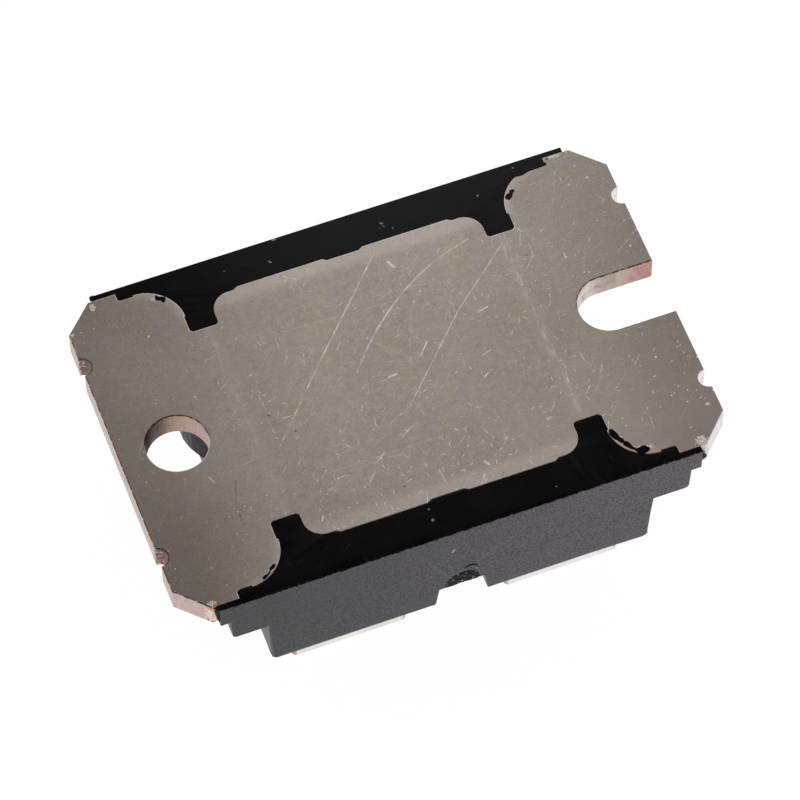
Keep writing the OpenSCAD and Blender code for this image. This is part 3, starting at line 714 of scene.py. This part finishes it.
torn, w, shader = new_finish("torn_epoxy", Specular_IOR_Level=0.3)
place = w.millimetres()
crumbs = w.noise(place, 0.1, 4.0, 0.7)
resin = w.blend(w.step(crumbs, 0.42, 0.66), paint(6, 6, 7), paint(70, 68, 71))
bits = w.use(specks, Place=place, Cell=0.2, Size=0.15, Share=0.45)
resin = w.blend(w.product(bits, 0.75), resin, paint(210, 208, 206))
w.feed(shader.inputs["Base Color"], resin)
w.feed(shader.inputs["Roughness"], w.step(crumbs, 0.3, 0.7, 0.55, 0.8))
w.feed(shader.inputs["Normal"], w.bump(0.6, 0.03, crumbs))
print("polished and torn epoxy mixed")

# %% [markdown]
# ## Tin, steel and the layers inside
#
# The terminals are copper strip with a tin coat, the captive nuts are zinc-plated steel, and inside the
# block lie solder, bare copper, a white ceramic tile, the chip and its aluminium wires. They are all metals
# or ceramics with slow mottling and a fine grain, so one recipe with two colours and a roughness range
# makes each of them.

# %% Mix the plain metals and the ceramic
def mottled(name, one, other, rough, metal=1.0, size=1.2, grain_size=0.1):
    """A finish that drifts between two colours, with a fine grain in its roughness and relief."""
    material, w, shader = new_finish(name, Metallic=metal)
    place = w.millimetres()
    drift = w.use(clouds, Place=place, Size=size)
    grain = w.noise(place, grain_size, 3.0)
    w.feed(shader.inputs["Base Color"], w.blend(drift, one, other))
    w.feed(shader.inputs["Roughness"], w.step(grain, 0.3, 0.7, *rough))
    w.feed(shader.inputs["Normal"], w.bump(0.3, 0.01, grain))
    return material


tin = mottled("tin_coat", paint(238, 236, 233), paint(222, 219, 215), (0.26, 0.4), size=2.5)
SCREW_X = 7.5
strip_low, strip_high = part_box("gate_terminal")
w = Wires(tin.node_tree)
place = w.millimetres()
from_middle = w.math("ABSOLUTE", w.math("SUBTRACT", w.math("ABSOLUTE", w.xyz(place)["X"]), SCREW_X))
half_strip = (strip_high[0] - strip_low[0]) / MM / 2
bared = w.math("ADD", from_middle, w.waver(place, 0.3, 0.5))
bared = w.step(bared, half_strip - 0.35, half_strip - 0.1)
shader = tin.node_tree.nodes["Principled BSDF"]
coat = shader.inputs["Base Color"].links[0].from_socket
w.feed(shader.inputs["Base Color"], w.blend(w.product(bared, 0.85), coat, paint(188, 112, 96)))
# Painted highlight: a bright nickel for the plate's rim faces beside the resin.
rim_painted_highlight = mottled("bright_rim_highlight", paint(238, 233, 227), paint(214, 205, 196), (0.3, 0.42), size=0.7)
cut_copper = mottled("cut_copper", paint(204, 134, 112), paint(160, 86, 66), (0.35, 0.5), size=0.4)
zinc = mottled("zinc_plate", paint(206, 208, 210), paint(184, 186, 190), (0.3, 0.42), size=1.5)
solder = mottled("solder", paint(176, 178, 180), paint(150, 152, 155), (0.4, 0.6), size=0.8)
bare_copper = mottled("bare_copper", paint(216, 146, 118), paint(196, 122, 96), (0.3, 0.45), size=2.0)
ceramic = mottled("ceramic", paint(236, 235, 230), paint(226, 225, 219), (0.5, 0.65), metal=0.0, size=1.5)
silicon = mottled("silicon", paint(70, 72, 82), paint(88, 90, 98), (0.12, 0.2), metal=0.6, size=3.0)
wire_metal = mottled("aluminium_wire", paint(224, 226, 228), paint(208, 210, 213), (0.25, 0.4), size=0.6)
print(len(bpy.data.materials), "finishes")

# %% [markdown]
# ## Copies of the solids with real edges
#
# A CAD solid meets at perfect corners, and real ones never do: a moulding has a small radius, and sheared
# metal a rolled rim. A Bevel modifier on the loose CAD triangles would catch on every triangle, so we copy
# the mesh, merge its corners, join the triangles of each flat face, and bevel only the edges that are
# sharp.

# %% Helpers to copy, bevel and hand over a piece
def merged_copy(node):
    """A copy of a CAD solid as one joined mesh with its flat faces whole."""
    shape = bmesh.new()
    shape.from_mesh(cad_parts[node].data)
    bmesh.ops.remove_doubles(shape, verts=shape.verts, dist=0.0005 * MM)
    bmesh.ops.dissolve_limit(
        shape, verts=shape.verts, edges=shape.edges, angle_limit=math.radians(0.2),
        use_dissolve_boundaries=False,
    )
    return shape


def sharp_edges(shape, least=35):
    """The edges where two faces meet at more than the least angle, in degrees."""
    return [
        e for e in shape.edges if len(e.link_faces) == 2 and e.calc_face_angle() > math.radians(least)
    ]


def round_off(shape, edges, radius, steps=2):
    """Gives the edges a radius, in millimetres."""
    bmesh.ops.bevel(
        shape, geom=edges, offset=radius * MM, offset_type="OFFSET", segments=steps, profile=0.5,
        affect="EDGES", material=-1, clamp_overlap=False,
    )


def hand_over(shape, name, finishes, slot, *nodes):
    """Keeps the mesh in the solids' box and makes it a piece on the one body, in place of its CAD nodes."""
    for vert in shape.verts:
        vert.co = [min(max(c, low), high) for c, low, high in zip(vert.co, cad_low, cad_high)]
    mesh = bpy.data.meshes.new(name)
    shape.to_mesh(mesh)
    shape.free()
    stale = mesh.attributes.get("custom_normal")
    if stale:
        mesh.attributes.remove(stale)
    for finish in finishes:
        mesh.materials.append(finish)
    mesh.shade_smooth()
    mesh.set_sharp_from_angle(angle=math.radians(28))
    piece = bpy.data.objects.new(name, mesh)
    bpy.context.scene.collection.objects.link(piece)
    piece.modifiers.new("face_normals", "WEIGHTED_NORMAL").keep_sharp = True
    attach(piece, "root")
    if nodes:
        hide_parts(*nodes)
    print(name, "has", len(mesh.polygons), "faces")


# %% [markdown]
# ## The base plate
#
# The plate's upper rim is rolled over a little by the cut. The outer rim, the hole and the slot show
# sheared copper; the rim beside the black resin and part of the hole's rim get a bright finish, which is a
# painted highlight. We bevel the rim and choose the finish of each face by where it is. The top goes down
# by a hundredth of a millimetre, because a few thin chips of resin flash lie on it, and their tops are the
# highest points of the part.

# %% Dress the base plate
BASE_FACE = 12.0 * MM
PLATE_TOP = BASE_FACE - 0.01 * MM
plate = merged_copy("baseplate")
for vert in plate.verts:
    vert.co.z = min(vert.co.z, PLATE_TOP)
rim_edges = [
    e for e in sharp_edges(plate)
    if all(abs(v.co.z - PLATE_TOP) < 0.001 * MM for v in e.verts)
]
round_off(plate, rim_edges, 0.07)
for face in plate.faces:
    x, y, z = face.calc_center_median() / MM
    on_rim = 0.05 < face.normal.z < 0.97 and z > 11.9
    near_hole_rim = math.hypot(x + HOLE_X, y) < 2.4 and face.normal.y > 0.05
    # Rim faces beside the resin and by the hole get the painted highlight.
    if on_rim and (near_hole_rim or abs(x) < 16.6 and abs(y) > 7.4):
        face.material_index = 2
    elif abs(face.normal.z) > 0.97 or on_rim and face.normal.x > 0.1 and face.normal.y > -0.1:
        face.material_index = 0
    else:
        face.material_index = 1
hand_over(plate, "plated_base", [nickel, sheared, rim_painted_highlight], "nickel_plate", "baseplate")

# %% [markdown]
# ## The moulding
#
# The block's edges get a small radius, and its upright corners a larger one. One edge gets none: along the
# near side, the edge beside the plate is ragged, because the resin crept out of the mould there. We cut a
# narrow strip off the face beside it, so that only this strip is divided into short pieces, and shift the
# points of the edge up, down and inwards by smooth noise, which gives the same teeth every time the script
# runs. Bevels leave a few faces without area, so at the end the mesh is turned into triangles and cleaned
# of them.

# %% Dress the moulding
RESIN_FACE = 11.95
NEAR_Y, STRIP_Y = -12.7, -12.55
RAGGED_REACH, TEETH = 16.4, 330
ROOM_RADIUS = 5.7
block = merged_copy("body_moulding")


def on_near_edge(edge):
    """Whether an edge runs along the near top edge of the moulding."""
    return all(v.co.y < -12.6 * MM and v.co.z > 11.8 * MM for v in edge.verts)


def at_block_end(point):
    """Whether a point is on one of the block's four upright corners, below the flange."""
    return 12.8 < abs(point.x) < 13.6 and 12.0 < abs(point.y) < 12.65 and point.z < 7.7


long_edge = [e for e in block.edges if on_near_edge(e) and e.calc_length() > 5 * MM]
beside_edge = {}
for face in [f for e in long_edge for f in e.link_faces if f.normal.z > 0.9]:
    beside_edge.update(dict.fromkeys((face, *face.edges, *face.verts)))
cut = bmesh.ops.bisect_plane(
    block, geom=list(beside_edge), dist=0.0001 * MM, plane_co=(0, STRIP_Y * MM, 0), plane_no=(0, 1, 0)
)
cut_line = [g for g in cut["geom_cut"] if isinstance(g, bmesh.types.BMEdge)]
bmesh.ops.subdivide_edges(block, edges=long_edge + cut_line, cuts=TEETH, use_grid_fill=True)
for vert in block.verts:
    x, y, z = vert.co / MM
    if y < NEAR_Y + 0.01 and z > RESIN_FACE - 0.01 and abs(x) < RAGGED_REACH:
        bite = noise.noise(Vector((x * 1.9, 0, 0))) + noise.noise(Vector((x * 5.3, 5, 0)))
        tooth = noise.noise(Vector((x * 11.0, 8, 0)))
        vert.co.z -= max(0.07 + 0.19 * bite + 0.09 * tooth, -0.03) * MM
        vert.co.y += 0.03 * abs(bite) * MM

block_ends = [e for e in block.edges if all(at_block_end(v.co / MM) for v in e.verts)]
round_off(block, block_ends, 0.3, steps=4)
round_off(block, [e for e in sharp_edges(block) if not on_near_edge(e)], 0.05)
for face in block.faces:
    x, y, z = face.calc_center_median() / MM
    top = z > 11.7 and face.normal.z > (0.3 if y < -12.5 else 0.8)
    # Painted shade: the screw pockets and the trench walls get the near-black polished finish, so they look
    # shaded.
    screw_room = math.hypot(abs(x) - HOLE_X, y) < ROOM_RADIUS and abs(y) < 5.6 and z < 9.95
    trench = abs(x) < 2.4 and abs(face.normal.x) > 0.9 and z < 4.7
    face.material_index = 1 if top or screw_room or trench else 0
bmesh.ops.triangulate(block, faces=block.faces[:], quad_method="BEAUTY", ngon_method="BEAUTY")
bmesh.ops.dissolve_degenerate(block, dist=0.0002 * MM, edges=block.edges[:])
print(len(long_edge), "ragged edge,", len(block_ends), "edges on the upright corners")
hand_over(block, "moulded_block", [grained, polished_and_shade], "black_epoxy", "body_moulding")

# %% [markdown]
# ## Flash and the torn gate
#
# Resin that crept between plate and mould sets as thin black flash. Most is scraped away, and a few chips
# stay on the plate's rim and at the ends of the skirt. Each chip is a face drawn through a few corner
# points and extruded.
#
# The gate is the little channel that the resin came in through. It is snapped off, which leaves a rough
# arch above the trench. A grid bent to that arch, with its points pushed about by noise, gives the crumbly
# break; its back is extruded into the block so that the piece is closed. On its upper right a lip of resin
# stands a little proud.

# %% Lay the flash chips
CHIPS_ON_FACE = [
    [(-12.78, 10.94), (-12.73, 11.13), (-12.59, 11.14), (-12.5, 11.0), (-12.23, 10.9), (-12.17, 10.77),
     (-12.35, 10.53), (-12.47, 10.58), (-12.5, 10.72), (-12.76, 10.83)],
    [(11.8, 10.06), (11.77, 10.23), (11.92, 10.39), (12.12, 10.42), (12.18, 10.58), (12.41, 10.6),
     (12.49, 10.45), (12.33, 10.35), (12.21, 10.14), (11.99, 9.96)],
    [(-12.67, -11.05), (-12.6, -10.85), (-12.44, -10.76), (-12.33, -10.68), (-12.23, -10.73),
     (-12.27, -10.89), (-12.46, -10.99)],
    [(-13.26, -11.36), (-13.13, -11.27), (-12.89, -11.22), (-12.72, -11.09), (-12.67, -11.14),
     (-12.85, -11.31), (-13.08, -11.47), (-13.24, -11.51)],
    [(11.5, -9.19), (11.6, -9.08), (11.73, -9.09), (11.82, -9.26), (11.92, -9.51), (11.95, -9.71),
     (11.86, -9.83), (11.77, -9.92), (11.64, -9.83), (11.54, -9.64), (11.47, -9.41)],
    [(11.95, -9.77), (12.12, -10.0), (12.15, -10.22), (12.05, -10.31), (11.92, -10.22), (11.79, -10.03)],
    [(12.05, -10.32), (12.24, -10.24), (12.4, -10.41), (12.46, -10.6), (12.5, -10.79), (12.63, -10.88),
     (12.54, -10.99), (12.33, -10.86), (12.18, -10.67), (12.03, -10.47)],
    [(12.56, -11.02), (12.82, -10.99), (13.08, -10.95), (13.27, -10.99), (13.37, -11.12), (13.46, -11.24),
     (13.4, -11.37), (13.21, -11.44), (12.95, -11.5), (12.76, -11.37)],
    [(13.0, 11.5), (13.46, 11.45), (13.97, 11.58), (15.08, 11.62), (15.08, 11.85), (13.0, 11.9)],
    [(-16.83, 12.4), (-16.82, 12.58), (-16.72, 12.67), (-16.55, 12.68), (-16.55, 12.33), (-16.76, 12.32)],
]
CHIP_GROWTH, CHIP_SHIFT = 1.16, 0.025
SKIRT_TONGUES = [
    [(16.55, 11.4), (16.7, 11.3), (16.85, 11.05), (17.02, 10.9), (16.84, 10.74), (16.55, 10.64)],
    [(-16.55, 11.9), (-16.72, 11.85), (-16.9, 11.6), (-16.78, 11.3), (-16.86, 10.9), (-16.7, 10.3),
     (-16.55, 10.2)],
]


def add_slab(shape, corners, thickness):
    """Adds a closed slab: a face through the corners, extruded by the thickness."""
    face = shape.faces.new([shape.verts.new(c) for c in corners])
    grown = bmesh.ops.extrude_face_region(shape, geom=[face], use_keep_orig=True)["geom"]
    bmesh.ops.translate(shape, verts=[g for g in grown if isinstance(g, bmesh.types.BMVert)], vec=thickness)


flash = bmesh.new()
for chip in CHIPS_ON_FACE:
    middle = sum((Vector((*corner, 0)) for corner in chip), Vector()) / len(chip)
    lobe = Vector((math.copysign(LOBE_X, middle.x), math.copysign(LOBE_Y, middle.y), 0))
    shift = (middle - lobe).normalized() * CHIP_SHIFT
    corners = [middle + shift + (Vector((*corner, 0)) - middle) * CHIP_GROWTH for corner in chip]
    add_slab(flash, [(c.x * MM, c.y * MM, 11.9 * MM) for c in corners], (0, 0, 0.1 * MM))
for tongue in SKIRT_TONGUES:
    add_slab(flash, [(px * MM, -12.36 * MM, pz * MM) for px, pz in tongue], (0, -0.22 * MM, 0))
bmesh.ops.recalc_face_normals(flash, faces=flash.faces)
hand_over(flash, "resin_flash", [polished_and_shade], "black_epoxy")

# %% Tear the gate off
GATE_FOOT, GATE_HALF, GATE_ROUND = 4.7, 1.17, 0.3
GATE_FLOOR, GATE_BACK = -12.46, -12.1
WALL_DRAFT, GATE_LEAN = math.radians(1.5), math.radians(9)
break_face = bmesh.new()
bmesh.ops.create_grid(break_face, x_segments=30, y_segments=20, size=1.0)
for vert in break_face.verts:
    rise = 0.73 * (vert.co.y + 1)
    half = math.sqrt(GATE_HALF ** 2 - max(rise - GATE_ROUND, 0.0) ** 2)
    x, z = vert.co.x * half, GATE_FOOT + rise
    wall_y = NEAR_Y + (RESIN_FACE - z) * math.tan(WALL_DRAFT)
    floor_y = GATE_FLOOR + rise * math.tan(GATE_LEAN)
    lump = 0.5 + noise.noise(Vector((x, z, 0)) * 3.1) + 0.5 * noise.noise(Vector((x, z, 9)) * 8.3)
    y = floor_y - min(max(lump, 0.1), 0.95) * (floor_y - wall_y)
    vert.co = (x * MM, y * MM, z * MM)
grown = bmesh.ops.extrude_face_region(break_face, geom=break_face.faces[:], use_keep_orig=True)["geom"]
for vert in [g for g in grown if isinstance(g, bmesh.types.BMVert)]:
    vert.co.y = GATE_BACK * MM

LIP_ABOVE_GATE = [
    (0.1, 6.66), (0.35, 6.86), (0.66, 6.88), (0.86, 6.76), (1.0, 6.56), (1.1, 6.3),
    (1.0, 6.16), (0.75, 6.3), (0.4, 6.38),
]
torn_faces = set(break_face.faces)
add_slab(break_face, [(px * MM, -12.4 * MM, pz * MM) for px, pz in LIP_ABOVE_GATE], (0, -0.235 * MM, 0))
bmesh.ops.recalc_face_normals(break_face, faces=break_face.faces)
for face in break_face.faces:
    face.material_index = 0 if face in torn_faces else 1
hand_over(break_face, "torn_gate", [torn, grained], "black_epoxy")

# %% [markdown]
# ## Terminals and their nuts
#
# The terminals are cut from tinned strip, so their ends show bare copper. Below each hole sits a captive
# nut. Its CAD bore is plain, because a thread is too fine for a solid, but one looks straight into it from
# the terminal side. We widen the bore of a copy and wind a rib into it: the rib's outline is spun about the
# nut's axis while it climbs one pitch for each turn.

# %% Dress the terminals
for node in ("source_terminal_a", "source_terminal_b", "drain_terminal", "gate_terminal"):
    strip = merged_copy(node)
    round_off(strip, sharp_edges(strip), 0.04)
    for face in strip.faces:
        face.material_index = 1 if abs(face.normal.x) > 0.9 else 0
    hand_over(strip, node.replace("terminal", "strip"), [tin, cut_copper], "tinned_copper", node)

# %% Cut the nuts' threads
PITCH, BORE, ROOT = 0.7, 1.65, 2.0
THREAD_END, STEPS_PER_TURN = 0.4, 36
for node in ("nut_source_a", "nut_source_b", "nut_drain", "nut_gate"):
    low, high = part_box(node)
    axis = (Vector(low) + Vector(high)) / 2
    nut = merged_copy(node)
    for vert in nut.verts:
        out = Vector((vert.co.x - axis.x, vert.co.y - axis.y, 0))
        if out.length < 1.9 * MM:
            vert.co += out * (ROOT * MM / out.length - 1)
    deep = (high[2] - low[2]) / MM
    climb = deep - 2 * THREAD_END
    turns = climb / PITCH
    outline = [(ROOT + 0.05, -0.3), (BORE, -0.05), (BORE, 0.05), (ROOT + 0.05, 0.3)]
    corners = [nut.verts.new((axis.x + r * MM, axis.y, low[2] + (THREAD_END + h) * MM)) for r, h in outline]
    end_face = nut.faces.new(corners)
    steps = round(turns * STEPS_PER_TURN)
    bmesh.ops.spin(
        nut, geom=[end_face], cent=axis, axis=(0, 0, 1), dvec=(0, 0, climb * MM / steps),
        angle=2 * math.pi * turns, steps=steps, use_merge=False, use_duplicate=False,
    )
    bmesh.ops.recalc_face_normals(nut, faces=nut.faces)
    hand_over(nut, node.replace("nut", "threaded_nut"), [zinc], "plated_steel", node)

# %% [markdown]
# ## The layers inside
#
# The rest keeps its CAD mesh, which is right as it is, and gets a finish.

# %% Give the inner nodes their finishes
INNER = {
    "base_solder": solder, "lower_copper": bare_copper, "ceramic_tile": ceramic,
    "source_pad": bare_copper, "drain_pad": bare_copper, "gate_pad": bare_copper,
    "source_a_solder": solder, "source_b_solder": solder, "drain_solder": solder, "gate_solder": solder,
    "die_solder": solder, "mosfet_die": silicon, "gate_wire": wire_metal,
}
INNER.update({f"source_wire_{i}": wire_metal for i in range(1, 9)})
for node, finish in INNER.items():
    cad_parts[node].data.materials.clear()
    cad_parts[node].data.materials.append(finish)
print(len(INNER), "inner nodes finished")

# %% Print the box of the whole part
low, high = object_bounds()
print("box in mm:", [round(v / MM, 3) for v in (*low, *high)])
